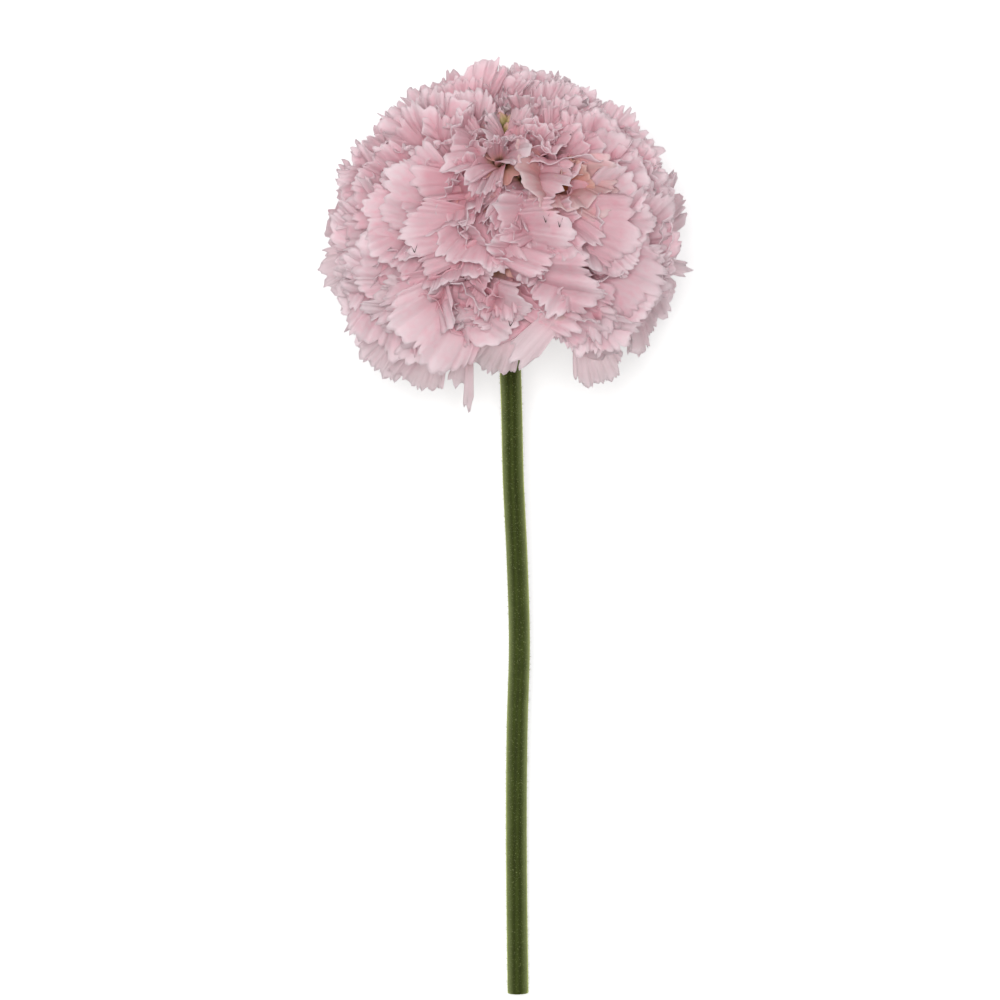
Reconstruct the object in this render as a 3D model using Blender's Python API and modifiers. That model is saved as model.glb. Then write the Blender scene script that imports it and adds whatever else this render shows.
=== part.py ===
"""A cut scabiosa flower, full double form, lying on a table: one head on one stem.

The flower is worked out upright first, in its own frame: the origin is the middle of the head,
+Z runs up the head's axis and -Y is the side that faces up once the flower lies down.
Then it is laid over, and the petals that meet the table are pressed flat against it.
"""

import math
import random

import bmesh
import bpy
from mathutils import Matrix, Vector

MM = 0.001

# Driving dimensions
HEAD_RADIUS = 35.0 * MM  # at the head's widest, seen from above the crown
CROWN_REACH = 26.5 * MM  # petal tips round the closed buds at the crown
SHOULDER_REACH = 32.0 * MM  # petal tips a third of the way down
SKIRT_REACH = 37.5 * MM  # petal tips of the hanging lowest florets
STEM_RADIUS = 2.05 * MM
CUT_END_REACH = 148.0 * MM  # along the table, from the middle of the head to the cut end
HEAD_HEIGHT = 30.5 * MM  # middle of the head above the table
HEAD_PITCH = math.radians(29)  # the head nods: its crown looks this far above level
PETAL_THICKNESS = 0.7 * MM
SEAM = 0.3 * MM  # gap between pieces that meet

# Florets, set in a golden-angle spiral from the crown to under the widest part
FLORETS = 104
GOLDEN_ANGLE = math.radians(137.508)
CROWN_ANGLE = math.radians(14.5)
SKIRT_ANGLE = math.radians(113)
SPIRAL_POWER = 1.25
SEED = 7

# The core that the florets grow from
CORE_RADIUS = 12.5 * MM
CORE_TOP = 19.5 * MM
CORE_BASE = -8.7 * MM
CORE_BASE_RADIUS = 5.6 * MM
DISH_RADIUS = 4.1 * MM
DISH_DEPTH = 1.2 * MM

# Closed buds in the dish at the crown
BUDS = 19
BUD_RADIUS = 1.15 * MM
BUD_STRETCH = 1.35
BUD_DOME_RADIUS = 3.9 * MM
BUD_DOME_HEIGHT = 4.2 * MM
BUD_ROOM = BUD_DOME_RADIUS + BUD_STRETCH * BUD_RADIUS + SEAM + PETAL_THICKNESS / 2

# Petals that would pass under the table are bent up against it, between these heights
PRESS_START = 9.0 * MM
PRESS_END = -3.2 * MM
PRESS_BITE = 0.08 * MM  # trimmed off the lowest petals, to leave them flat


def smoothstep(low, high, value):
    t = min(1.0, max(0.0, (value - low) / (high - low)))
    return t * t * (3 - 2 * t)


def material(name, colour, roughness):
    made = bpy.data.materials.new(name)
    made.use_nodes = True
    shader = made.node_tree.nodes["Principled BSDF"]
    shader.inputs["Base Color"].default_value = (*colour, 1)
    shader.inputs["Roughness"].default_value = roughness
    shader.inputs["Metallic"].default_value = 0.0
    made.diffuse_color = (*colour, 1)
    return made


# Laying the flower down

LAID_OVER = Matrix.Rotation(HEAD_PITCH - math.pi / 2, 4, "X")


def laid(point):
    """An upright point, relative to the head's middle, after the flower is laid over."""
    return LAID_OVER @ Vector(point)


def pressed(point, lowest):
    """Squeezes what would be under the table up against it; lowest is the height it may reach."""
    height = point.z + HEAD_HEIGHT
    if height >= PRESS_START:
        return point
    span = PRESS_START - PRESS_END
    room = PRESS_START - lowest
    share = min(1.0, (PRESS_START - height) / span)
    start_slope = span / room
    taken = start_slope * share - (start_slope - 1) * share * share
    return Vector((point.x, point.y, PRESS_START - room * taken - HEAD_HEIGHT))


# Mesh helpers


def object_from(name, bm, collection, finish):
    mesh = bpy.data.meshes.new(name)
    bm.to_mesh(mesh)
    bm.free()
    mesh.materials.append(finish)
    made = bpy.data.objects.new(name, mesh)
    collection.objects.link(made)
    return made


def turned(name, profile, steps, collection, finish):
    """A closed turned solid about Z. The profile is (radius, height) from top to bottom."""
    bm = bmesh.new()
    points = [bm.verts.new((radius, 0, height)) for radius, height in profile]
    for upper, lower in zip(points, points[1:]):
        bm.edges.new((upper, lower))
    made = object_from(name, bm, collection, finish)
    screw = made.modifiers.new("turn", "SCREW")
    screw.axis = "Z"
    screw.steps = screw.render_steps = steps
    screw.use_merge_vertices = True
    screw.merge_threshold = 0.01 * MM
    return made


def applied(made):
    """Replaces an object's mesh by its evaluated one and drops the modifiers."""
    graph = bpy.context.evaluated_depsgraph_get()
    mesh = bpy.data.meshes.new_from_object(made.evaluated_get(graph))
    made.modifiers.clear()
    made.data = mesh
    return made


def shells(bm):
    """Groups of faces that hang together."""
    left = set(bm.faces)
    while left:
        shell = {left.pop()}
        frontier = list(shell)
        while frontier:
            face = frontier.pop()
            found = {other for edge in face.edges for other in edge.link_faces} & left
            left -= found
            shell |= found
            frontier.extend(found)
        yield list(shell)


def filled(made):
    """Drops the walls of hollows that the union sealed, and any loose scrap: one outer skin stays."""
    bm = bmesh.new()
    bm.from_mesh(made.data)
    bmesh.ops.triangulate(bm, faces=bm.faces)

    def volume(shell):
        corners = [[vert.co for vert in face.verts] for face in shell]
        return sum(a.dot(b.cross(c)) for a, b, c in corners)

    groups = sorted(shells(bm), key=volume)
    for shell in groups[:-1]:
        bmesh.ops.delete(bm, geom=shell, context="FACES")
    bm.to_mesh(made.data)
    bm.free()
    return made


def fused(base, pieces):
    """One Boolean union of a base with a collection of pieces, which are then removed.

    The exact solver is slow on so many crossing blades, and every piece here is closed.
    """
    union = base.modifiers.new("union", "BOOLEAN")
    union.operation = "UNION"
    union.operand_type = "COLLECTION"
    union.collection = pieces
    union.solver = "MANIFOLD"
    bpy.context.view_layer.update()
    applied(base)
    for piece in list(pieces.objects):
        bpy.data.objects.remove(piece)
    bpy.data.collections.remove(pieces)
    return filled(base)


def working_collection(name):
    made = bpy.data.collections.new(name)
    bpy.context.scene.collection.children.link(made)
    return made


def bridge(bm, lower, upper):
    """Triangles between two rows of points with unlike counts, walked from edge to edge."""
    i = j = 0
    while i < len(lower) - 1 or j < len(upper) - 1:
        lower_next = (i + 1) / max(1, len(lower) - 1)
        upper_next = (j + 1) / max(1, len(upper) - 1)
        if j == len(upper) - 1 or (i < len(lower) - 1 and lower_next <= upper_next):
            bm.faces.new((lower[i], lower[i + 1], upper[j]))
            i += 1
        else:
            bm.faces.new((lower[i], upper[j + 1], upper[j]))
            j += 1


def sheet(rows):
    """A thin sheet lofted through rows of points, every face a triangle."""
    bm = bmesh.new()
    made = [[bm.verts.new(point) for point in row] for row in rows]
    for lower, upper in zip(made, made[1:]):
        bridge(bm, lower, upper)
    bmesh.ops.recalc_face_normals(bm, faces=bm.faces)
    return bm


def thickened(made, thickness):
    solidify = made.modifiers.new("thickness", "SOLIDIFY")
    solidify.thickness = thickness
    solidify.offset = 0
    solidify.use_rim = True
    return made


# Florets: each is a long claw out of the core that opens into a three-lobed ruffled lip


def petal_reach(polar):
    """How far petal tips stand from the head's middle, by angle from the crown."""
    degrees = math.degrees(polar)
    reach = CROWN_REACH
    reach += (SHOULDER_REACH - CROWN_REACH) * smoothstep(12, 38, degrees)
    reach += (HEAD_RADIUS - SHOULDER_REACH) * smoothstep(35, 85, degrees)
    reach += (SKIRT_REACH - HEAD_RADIUS) * smoothstep(90, 122, degrees)
    return reach


def floret_angles(index):
    """(angle from the crown, turn about the axis) of a floret. Each has about the same room."""
    share = ((index + 0.5) / FLORETS) ** SPIRAL_POWER
    height = math.cos(CROWN_ANGLE) + (math.cos(SKIRT_ANGLE) - math.cos(CROWN_ANGLE)) * share
    return math.acos(height), index * GOLDEN_ANGLE


def meridian(reach, polar):
    """A point of the half plane through the axis: (out from the axis, up the axis)."""
    return Vector((reach * math.sin(polar), reach * math.cos(polar)))


class Petal:
    """The middle surface of one floret's lip: straight out of the core, then bent over at the tip.

    Every lip bends over at its own level, so neighbours lie in layers and do not cross.
    """

    CLAW_SHARE = 0.42  # part of the midline before the fan opens
    CLAW_HALF_WIDTH = 1.2 * MM  # on a full-grown floret
    ROOT_REACH = 10.0 * MM
    NOTCH = 2.6 * MM  # between the three lobes
    LOBE_PITCH = 0.8  # from lobe to lobe, where the whole width runs from -1 to 1

    def __init__(self, index, rng):
        self.polar, self.turn = floret_angles(index)
        degrees = math.degrees(self.polar)
        self.grown = smoothstep(14, 62, degrees)
        bend = 26 * self.grown - 2 - 8 * smoothstep(88, 113, degrees) + rng.uniform(-3, 3)
        tip_polar = self.polar + math.radians(bend)
        reach = petal_reach(tip_polar) + rng.uniform(-1.3, 0.3) * MM
        self.claw = self.CLAW_HALF_WIDTH * (0.6 + 0.4 * self.grown)
        self.spread = math.radians(28 + 12 * self.grown + rng.uniform(-4, 4))
        self.root = meridian(self.ROOT_REACH, self.polar)
        self.elbow = meridian((0.70 + 0.15 * self.grown) * reach, self.polar)
        self.tip = meridian(reach, tip_polar)
        self.fan_length = (self.tip - self.on_midline(self.CLAW_SHARE)).length
        self.phase = rng.uniform(-0.6, 0.6)
        self.wave_depth = (0.35 + 0.45 * self.grown) * MM
        self.cup = rng.uniform(-0.9, 0.5) * MM

    def on_midline(self, share):
        rest = 1 - share
        return rest * rest * self.root + 2 * rest * share * self.elbow + share * share * self.tip

    def across_midline(self, share):
        """Unit vector square to the midline, in the half plane, on its upper side."""
        along = 2 * (1 - share) * (self.elbow - self.root) + 2 * share * (self.tip - self.elbow)
        along.normalize()
        return Vector((-along.y, along.x))

    def notch(self, side):
        """How far the margin is drawn back between the lobes."""
        depth = self.NOTCH * (0.4 + 0.6 * self.grown)
        return depth * (1 - abs(math.cos(math.pi * side / self.LOBE_PITCH)))

    def point(self, share, side, tooth=0.0):
        """Upright place of a point: share runs from root to margin, side from -1 to 1 across."""
        if share <= self.CLAW_SHARE:
            forward = share
            width = self.claw * side
            lift = 0.0
        else:
            opened = (share - self.CLAW_SHARE) / (1 - self.CLAW_SHARE)
            ray = opened * self.fan_length * (1 - 0.10 * side * side) + tooth
            angle = side * self.spread
            forward = self.CLAW_SHARE + (1 - self.CLAW_SHARE) * ray * math.cos(angle) / self.fan_length
            width = self.claw * side + ray * math.sin(angle)
            arch = math.cos(2 * math.pi * side / self.LOBE_PITCH + self.phase)
            lift = opened * opened * (self.wave_depth * arch + self.cup * side * side)
        out, up = self.on_midline(forward) + lift * self.across_midline(min(1.0, forward))
        turn = self.turn + width / out
        if up > CORE_TOP - DISH_DEPTH:
            out = max(out, BUD_ROOM)
        return Vector((out * math.cos(turn), out * math.sin(turn), up))


# (share of the way out, number of points across) of each row of a lip
FAN_ROWS = ((0.0, 2), (0.36, 2), (0.62, 4), (0.80, 7), (1.0, 11))
SMALL_FAN_ROWS = ((0.0, 2), (0.36, 2), (0.70, 4), (1.0, 7))
SMALL_FAN_LIMIT = math.radians(48)
TOOTH = 0.7 * MM


def petal_sheet(index, rng):
    petal = Petal(index, rng)
    layout = SMALL_FAN_ROWS if petal.polar < SMALL_FAN_LIMIT else FAN_ROWS
    rows = []
    for share, count in layout:
        row = []
        for k in range(count):
            side = 2 * k / (count - 1) - 1
            tooth = 0.0
            if share == 1.0:
                tooth = TOOTH * (0.5 if k % 2 else -0.5) * rng.uniform(0.4, 1.4) - petal.notch(side)
            spot = laid(petal.point(share, side, tooth))
            row.append(pressed(spot, PETAL_THICKNESS / 2 - PRESS_BITE))
        rows.append(row)
    return sheet(rows)


def trimmed_at_table(made):
    """Cuts a piece off level with the table, so that what rests on it is flat."""
    reach = 2 * SKIRT_REACH
    bm = bmesh.new()
    bmesh.ops.create_cube(bm, size=2 * reach)
    bmesh.ops.translate(bm, vec=(0, 0, -reach - HEAD_HEIGHT), verts=bm.verts)
    cutters = working_collection("cutters")
    cutter = object_from("table_cutter", bm, cutters, made.data.materials[0])
    cut = made.modifiers.new("trim", "BOOLEAN")
    cut.operation = "DIFFERENCE"
    cut.object = cutter
    cut.solver = "MANIFOLD"
    bpy.context.view_layer.update()
    applied(made)
    bpy.data.objects.remove(cutter)
    bpy.data.collections.remove(cutters)
    return made


def build_florets(collection, finish):
    profile = [
        (0.0, CORE_TOP - DISH_DEPTH),
        (DISH_RADIUS, CORE_TOP - DISH_DEPTH),
        (DISH_RADIUS + 0.5 * MM, CORE_TOP),
        (0.74 * CORE_RADIUS, 0.80 * CORE_TOP),
        (0.96 * CORE_RADIUS, 0.45 * CORE_TOP),
        (CORE_RADIUS, 0.05 * CORE_TOP),
        (0.84 * CORE_RADIUS, 0.65 * CORE_BASE),
        (CORE_BASE_RADIUS, CORE_BASE),
        (0.0, CORE_BASE),
    ]
    core = applied(turned("florets", profile, 20, collection, finish))
    core.data.transform(LAID_OVER)
    rng = random.Random(SEED)
    petals = working_collection("petals")
    for index in range(FLORETS):
        petal = object_from(f"petal_{index}", petal_sheet(index, rng), petals, finish)
        thickened(petal, PETAL_THICKNESS)
    return filled(trimmed_at_table(fused(core, petals)))


# Closed buds: a dome of small ovals, the youngest florets


def build_buds(collection, finish):
    base = CORE_TOP - DISH_DEPTH + SEAM
    rows = 5
    profile = [(0.0, base + BUD_DOME_HEIGHT)]
    for k in range(1, rows):
        angle = k / rows * math.pi / 2
        profile.append((BUD_DOME_RADIUS * math.sin(angle), base + BUD_DOME_HEIGHT * math.cos(angle)))
    profile += [(DISH_RADIUS - SEAM, base + 0.4 * MM), (DISH_RADIUS - SEAM, base), (0.0, base)]
    dome = applied(turned("centre_buds", profile, 16, collection, finish))
    dome.data.transform(LAID_OVER)
    buds = working_collection("buds")
    for index in range(BUDS):
        polar = math.radians(78) * math.sqrt((index + 0.3) / BUDS)
        turn = index * GOLDEN_ANGLE
        out = BUD_DOME_RADIUS * math.sin(polar)
        up = base + 0.6 * MM + BUD_DOME_HEIGHT * math.cos(polar)
        bm = bmesh.new()
        bmesh.ops.create_icosphere(bm, subdivisions=1, radius=BUD_RADIUS)
        place = Matrix.Translation((out * math.cos(turn), out * math.sin(turn), up))
        lean = Matrix.Rotation(turn, 4, "Z") @ Matrix.Rotation(polar, 4, "Y")
        stretch = Matrix.Diagonal((0.95, 0.95, BUD_STRETCH, 1))
        bmesh.ops.transform(bm, matrix=LAID_OVER @ place @ lean @ stretch, verts=bm.verts)
        object_from(f"bud_{index}", bm, buds, finish)
    return fused(dome, buds)


# Green involucre under the head: a shallow cup with two whorls of narrow bracts

CUP_TOP = CORE_BASE - SEAM
CUP_RADIUS = 5.4 * MM
CUP_BASE = -14.0 * MM
STEM_TOP_RADIUS = 2.9 * MM
BRACTS = 12
BRACT_LENGTH = 13.0 * MM
BRACT_HALF_WIDTH = 1.7 * MM
BRACT_TIP_HALF_WIDTH = 0.25 * MM
BRACT_THICKNESS = 0.8 * MM


def bract_sheet(index):
    """A narrow pointed leaf that leaves the cup outwards and curves down a little."""
    turn = 2 * math.pi * index / BRACTS
    inner_whorl = index % 2
    length = BRACT_LENGTH * (0.82 if inner_whorl else 1.0)
    height = CUP_TOP - (1.6 if inner_whorl else 2.8) * MM
    rows = []
    for share in (0.0, 0.2, 0.5, 0.8, 1.0):
        out = 3.2 * MM + length * share
        up = height - 3.4 * MM * share * share
        belly = 0.65 + 0.7 * math.sin(math.pi * min(1.0, 1.15 * share)) ** 0.8
        half = max(BRACT_HALF_WIDTH * belly * (1 - share**3), BRACT_TIP_HALF_WIDTH)
        count = 2 if share in (0.0, 1.0) else 3
        row = []
        for k in range(count):
            side = 2 * k / (count - 1) - 1
            fold = 0.5 * MM * side * side * math.sin(math.pi * share)
            local = Vector((out, half * side, up + fold))
            row.append(laid(Matrix.Rotation(turn, 3, "Z") @ local))
        rows.append(row)
    return sheet(rows)


def build_involucre(collection, finish):
    profile = [
        (0.0, CUP_TOP),
        (CUP_RADIUS, CUP_TOP),
        (CUP_RADIUS, CUP_TOP - 1.6 * MM),
        (0.82 * CUP_RADIUS, CUP_TOP - 3.4 * MM),
        (STEM_TOP_RADIUS, CUP_BASE),
        (0.0, CUP_BASE),
    ]
    cup = applied(turned("involucre", profile, 20, collection, finish))
    cup.data.transform(LAID_OVER)
    bracts = working_collection("bracts")
    for index in range(BRACTS):
        bract = object_from(f"bract_{index}", bract_sheet(index), bracts, finish)
        thickened(bract, BRACT_THICKNESS)
    return fused(cup, bracts)


# Stem: bent at the neck, then nearly straight down to the table at the cut end

# (distance from the middle of the head, sideways), in mm and seen from straight above
STEM_ROUTE = (
    (20.0, 0.35),
    (33.0, 0.85),
    (48.0, 1.20),
    (64.0, 1.95),
    (80.0, 2.40),
    (96.0, 2.00),
    (114.0, 1.85),
    (132.0, 1.95),
)
CUT_END_SIDEWAYS = 2.15
NECK_LENGTH = 9.0 * MM
STEM_SINK = 0.04 * MM  # how much of the cut end is flattened by the table


def stem_height():
    """Height of the stem's middle line above the table, as a function of the distance along it."""
    top = laid((0, 0, CUP_BASE - SEAM))
    run = CUT_END_REACH + top.y
    rise = top.z + HEAD_HEIGHT - STEM_RADIUS + STEM_SINK
    slope = (rise - NECK_LENGTH * math.tan(HEAD_PITCH)) / (run - NECK_LENGTH)
    neck_rise = NECK_LENGTH * (math.tan(HEAD_PITCH) - slope)

    def height(distance):
        past_neck = math.exp(-(distance + top.y) / NECK_LENGTH)
        return STEM_RADIUS - STEM_SINK + slope * (CUT_END_REACH - distance) + neck_rise * past_neck

    return height, -top.y


def build_stem(collection, finish):
    height, top_distance = stem_height()
    curve = bpy.data.curves.new("stem", "CURVE")
    curve.dimensions = "3D"
    curve.bevel_depth = STEM_RADIUS
    curve.bevel_resolution = 4
    curve.use_fill_caps = True
    curve.resolution_u = 4
    spline = curve.splines.new("BEZIER")
    route = [(distance * MM, sideways * MM) for distance, sideways in STEM_ROUTE]
    route = [(top_distance, 0.0), *route, (CUT_END_REACH, CUT_END_SIDEWAYS * MM)]
    spline.bezier_points.add(len(route) - 1)
    for knot, (distance, sideways) in zip(spline.bezier_points, route):
        knot.co = (sideways, -distance, height(distance) - HEAD_HEIGHT)
        knot.handle_left_type = knot.handle_right_type = "AUTO"
    spline.bezier_points[0].radius = STEM_TOP_RADIUS / STEM_RADIUS
    made = bpy.data.objects.new("stem_curve", curve)
    collection.objects.link(made)
    bpy.context.view_layer.update()
    graph = bpy.context.evaluated_depsgraph_get()
    mesh = bpy.data.meshes.new_from_object(made.evaluated_get(graph))
    bpy.data.objects.remove(made)
    bm = bmesh.new()
    bm.from_mesh(mesh)
    bmesh.ops.remove_doubles(bm, verts=bm.verts, dist=0.01 * MM)
    for vert in bm.verts:
        vert.co.z = max(vert.co.z, -HEAD_HEIGHT)
    bm.to_mesh(mesh)
    bm.free()
    mesh.materials.clear()
    mesh.materials.append(finish)
    stem = bpy.data.objects.new("stem", mesh)
    collection.objects.link(stem)
    return stem


def centre_on_table(pieces, carrier):
    """Moves the carrier so that the table is z = 0 and the middle of the outline is the origin."""
    bpy.context.view_layer.update()
    points = [vert.co for piece in pieces for vert in piece.data.vertices]
    low = [min(point[axis] for point in points) for axis in range(3)]
    high = [max(point[axis] for point in points) for axis in range(3)]
    carrier.location = (-(low[0] + high[0]) / 2, -(low[1] + high[1]) / 2, -low[2])
    print("middle of the head, in mm:", [round(value / MM, 3) for value in carrier.location])


def main():
    for made in list(bpy.data.objects):
        bpy.data.objects.remove(made)
    flower = working_collection("scabiosa_flower")
    petal_pink = material("petal_pink", (0.62, 0.41, 0.45), 0.6)
    bud_green = material("bud_green", (0.42, 0.40, 0.14), 0.6)
    bract_green = material("bract_green", (0.09, 0.16, 0.04), 0.6)
    stem_green = material("stem_green", (0.05, 0.08, 0.02), 0.5)
    carrier = bpy.data.objects.new("head_centre", None)
    flower.objects.link(carrier)
    pieces = [
        build_florets(flower, petal_pink),
        build_buds(flower, bud_green),
        build_involucre(flower, bract_green),
        build_stem(flower, stem_green),
    ]
    centre_on_table(pieces, carrier)
    for piece in pieces:
        piece.data.shade_smooth()
        piece.data.set_sharp_from_angle(angle=math.radians(35))
        piece.parent = carrier
        print(piece.name, sum(len(face.vertices) - 2 for face in piece.data.polygons), "triangles")


main()
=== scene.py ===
# %% [markdown]
# # A cut scabiosa flower, lying on a pale table
#
# Scabiosa is the pincushion flower. This one is a full double form: its whole head is a ball of
# frilled florets, held on one bare green stem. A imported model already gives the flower's plain
# solids at their real size. This lesson dresses them: it rebuilds the florets lobe by lobe, adds
# buds, bristles and hairs, and gives each part a finish made of shader nodes.

# %% Load the plain model
import math
import random

import bpy
import numpy as np
from mathutils.bvhtree import BVHTree
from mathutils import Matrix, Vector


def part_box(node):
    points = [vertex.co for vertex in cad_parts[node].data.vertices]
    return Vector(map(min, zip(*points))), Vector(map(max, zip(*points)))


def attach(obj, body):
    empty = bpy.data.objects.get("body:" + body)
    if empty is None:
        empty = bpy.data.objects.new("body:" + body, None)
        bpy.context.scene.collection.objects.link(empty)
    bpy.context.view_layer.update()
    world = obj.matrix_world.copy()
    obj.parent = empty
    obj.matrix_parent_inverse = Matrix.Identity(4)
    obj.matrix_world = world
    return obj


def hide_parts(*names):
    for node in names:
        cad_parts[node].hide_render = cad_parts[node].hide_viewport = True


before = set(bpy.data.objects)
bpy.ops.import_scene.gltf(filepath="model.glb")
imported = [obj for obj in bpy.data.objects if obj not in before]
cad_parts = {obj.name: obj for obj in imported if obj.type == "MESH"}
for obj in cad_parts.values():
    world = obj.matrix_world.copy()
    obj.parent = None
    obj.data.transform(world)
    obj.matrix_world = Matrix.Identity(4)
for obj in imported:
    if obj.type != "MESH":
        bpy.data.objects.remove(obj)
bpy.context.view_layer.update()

MM = 0.001

# %% [markdown]
# ## Where the head is, and which way it looks
#
# Everything in a flower head is laid out round its own axis, so it is easiest to make each part
# upright, with the middle of the head at zero, and to lay the whole head over at the end. One
# could also model it lying down from the start, but then every formula would carry that tilt.
# The head's middle is read from the plain model: the ring of bracts is even on both sides of it,
# and the stem's cut end is a known way off.

# %% Head position and tilt
HEAD_HEIGHT = 30.5 * MM
HEAD_PITCH = math.radians(29)
CUT_END_REACH = 148.0 * MM
CUT_END_LEAN = 0.27 * MM  # the cut end is square to a stem that slopes a little

ring_low, ring_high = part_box("involucre")
stem_low, stem_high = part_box("stem")
ring_middle = (ring_low.x + ring_high.x) / 2
HEAD = np.array([ring_middle, stem_low.y + CUT_END_REACH + CUT_END_LEAN, HEAD_HEIGHT])
LAY = HEAD_PITCH - math.pi / 2
LAID_OVER = np.array(
    [[1, 0, 0], [0, math.cos(LAY), -math.sin(LAY)], [0, math.sin(LAY), math.cos(LAY)]]
)
VIEW = LAID_OVER.T @ np.array([0.0, 0.0, 1.0])  # the way up from the table, in the upright head
print("middle of the head, mm:", (HEAD / MM).round(2))

# %% [markdown]
# ## The table presses the lowest petals
#
# A ball of soft petals does not touch a table in one point: the lowest ones bend up and lie along
# it. Cloth simulation could find that shape, but a smooth squeeze of the heights near the table
# gives the same look at once and never lets a petal pass through the table.

# %% Lay points over and press them
PRESS_START = 9.0 * MM
PRESS_END = -3.2 * MM
LOWEST = 0.12 * MM


def on_table(points):
    """Upright points, relative to the head's middle, as they lie on the table."""
    laid = points @ LAID_OVER.T + HEAD
    room = PRESS_START - LOWEST
    span = PRESS_START - PRESS_END
    share = np.clip((PRESS_START - laid[..., 2]) / span, 0, 1)
    taken = span / room * share - (span / room - 1) * share**2
    laid[..., 2] = np.where(laid[..., 2] < PRESS_START, PRESS_START - room * taken, laid[..., 2])
    return laid


# %% [markdown]
# ## One mesh from many small sheets
#
# A petal is a thin sheet. Here a sheet is a grid of points worked out with numpy, and a small
# collector turns many grids into one mesh. It also keeps a few numbers for each point, such as
# how far out on the petal it lies, and the materials read those later. A Solidify modifier then
# gives the sheets a real thickness, so that each one is a closed body.

# %% Sheets and rings into meshes
def in_scene(name, data, place=(0, 0, 0)):
    made = bpy.data.objects.new(name, data)
    made.location = place
    bpy.context.scene.collection.objects.link(made)
    return made


class Skin:
    """Collects grids of points, with a number for each point, into one mesh."""

    def __init__(self):
        self.points = []
        self.faces = []
        self.values = {}
        self.count = 0

    def add(self, grid, closed=False, capped=False, **values):
        """A grid of points. closed joins its last column to its first, capped fills its ends."""
        rows, columns = grid.shape[:2]
        index = self.count + np.arange(rows * columns).reshape(rows, columns)
        right = np.roll(index, -1, axis=1)
        last = columns if closed else columns - 1
        quads = np.stack(
            [index[:-1, :last], right[:-1, :last], right[1:, :last], index[1:, :last]], axis=-1
        )
        self.faces.extend(quads.reshape(-1, 4).tolist())
        if capped:
            self.faces.append(index[0, ::-1].tolist())
            self.faces.append(index[-1].tolist())
        self.points.append(grid.reshape(-1, 3))
        for name, value in values.items():
            spread = np.broadcast_to(value, (rows, columns)).reshape(-1)
            self.values.setdefault(name, []).append(spread)
        self.count += rows * columns

    def add_spikes(self, bases, tips, radius):
        """Thin three-sided spikes, such as hairs and bristles."""
        length = tips - bases
        aside = unit(np.cross(length, [0.31, 0.52, 0.79]))
        ahead = unit(np.cross(length, aside))
        corners = [
            bases + radius * (math.cos(turn) * aside + math.sin(turn) * ahead)
            for turn in (0, 2 * math.pi / 3, 4 * math.pi / 3)
        ]
        points = np.stack([*corners, tips], axis=1)
        start = self.count + 4 * np.arange(len(bases))[:, None]
        for face in ((0, 1, 3), (1, 2, 3), (2, 0, 3), (0, 2, 1)):
            self.faces.extend((start + np.array(face)).tolist())
        self.points.append(points.reshape(-1, 3))
        self.count += 4 * len(bases)

    def build(self, name, finish, thickness=None):
        """The mesh object, with one finish and, for sheets, a thickness."""
        mesh = bpy.data.meshes.new(name)
        mesh.from_pydata(np.concatenate(self.points), [], self.faces)
        for key, parts in self.values.items():
            layer = mesh.attributes.new(key, "FLOAT", "POINT")
            layer.data.foreach_set("value", np.concatenate(parts).astype(np.float32))
        mesh.materials.append(finish)
        mesh.shade_smooth()
        made = in_scene(name, mesh)
        if thickness:
            solid = made.modifiers.new("thickness", "SOLIDIFY")
            solid.thickness = thickness
            solid.offset = 0
        print(name, len(self.faces), "faces")
        return made


def smoothstep(low, high, value):
    share = np.clip((value - low) / (high - low), 0, 1)
    return share * share * (3 - 2 * share)


def unit(vector):
    return vector / np.linalg.norm(vector, axis=-1, keepdims=True)


def full_turn(steps):
    """Angles all the way round, without the last one, which is the first again."""
    return np.linspace(0, 2 * math.pi, steps, endpoint=False)


# %% [markdown]
# ## Shader maths as plain expressions
#
# Shader nodes can be wired one by one, but a page of wiring hides what it works out. The small
# class below wraps one socket. Python's own operators on it add the Math nodes, so a mask can be
# written as `1 - edge * 0.5`.

# %% A socket that understands arithmetic
class Wire:
    """One output socket in a material's node tree."""

    def __init__(self, tree, socket=None):
        self.tree = tree
        self.socket = socket

    def make(self, kind, settings=None, inputs=None, output=0):
        """Any node: its type, its settings, and the values or wires of its sockets."""
        node = self.tree.nodes.new(kind)
        for key, value in (settings or {}).items():
            setattr(node, key, value)
        for key, value in (inputs or {}).items():
            if isinstance(value, Wire):
                self.tree.links.new(value.socket, node.inputs[key])
            else:
                node.inputs[key].default_value = value
        return Wire(self.tree, node.outputs[output])

    def maths(self, operation, first, second=0.5):
        return self.make("ShaderNodeMath", {"operation": operation}, {0: first, 1: second})

    def __add__(self, other):
        return self.maths("ADD", self, other)

    def __sub__(self, other):
        return self.maths("SUBTRACT", self, other)

    def __mul__(self, other):
        return self.maths("MULTIPLY", self, other)

    def __rsub__(self, other):
        return self.maths("SUBTRACT", other, self)

    __radd__ = __add__

    def clamped(self):
        limits = {"Value": self, "Min": 0.0, "Max": 1.0}
        return self.make("ShaderNodeClamp", None, limits)

    def sine(self):
        return self.maths("SINE", self)

    def blend(self, start, end):
        """A colour from start to end, by this wire's value."""
        start = start if isinstance(start, Wire) else (*start, 1)
        end = end if isinstance(end, Wire) else (*end, 1)
        settings = {"data_type": "RGBA", "clamp_factor": True}
        return self.make("ShaderNodeMix", settings, {0: self, 6: start, 7: end}, output=2)


def attribute(wire, name):
    return wire.make("ShaderNodeAttribute", {"attribute_name": name}, output="Fac")


def noise(wire, size, detail=3.0):
    """Soft random patches about this size across, from 0 to 1."""
    place = wire.make("ShaderNodeTexCoord", output="Object")
    inputs = {"Vector": place, "Scale": 1 / size, "Detail": detail}
    return wire.make("ShaderNodeTexNoise", None, inputs)


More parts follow.
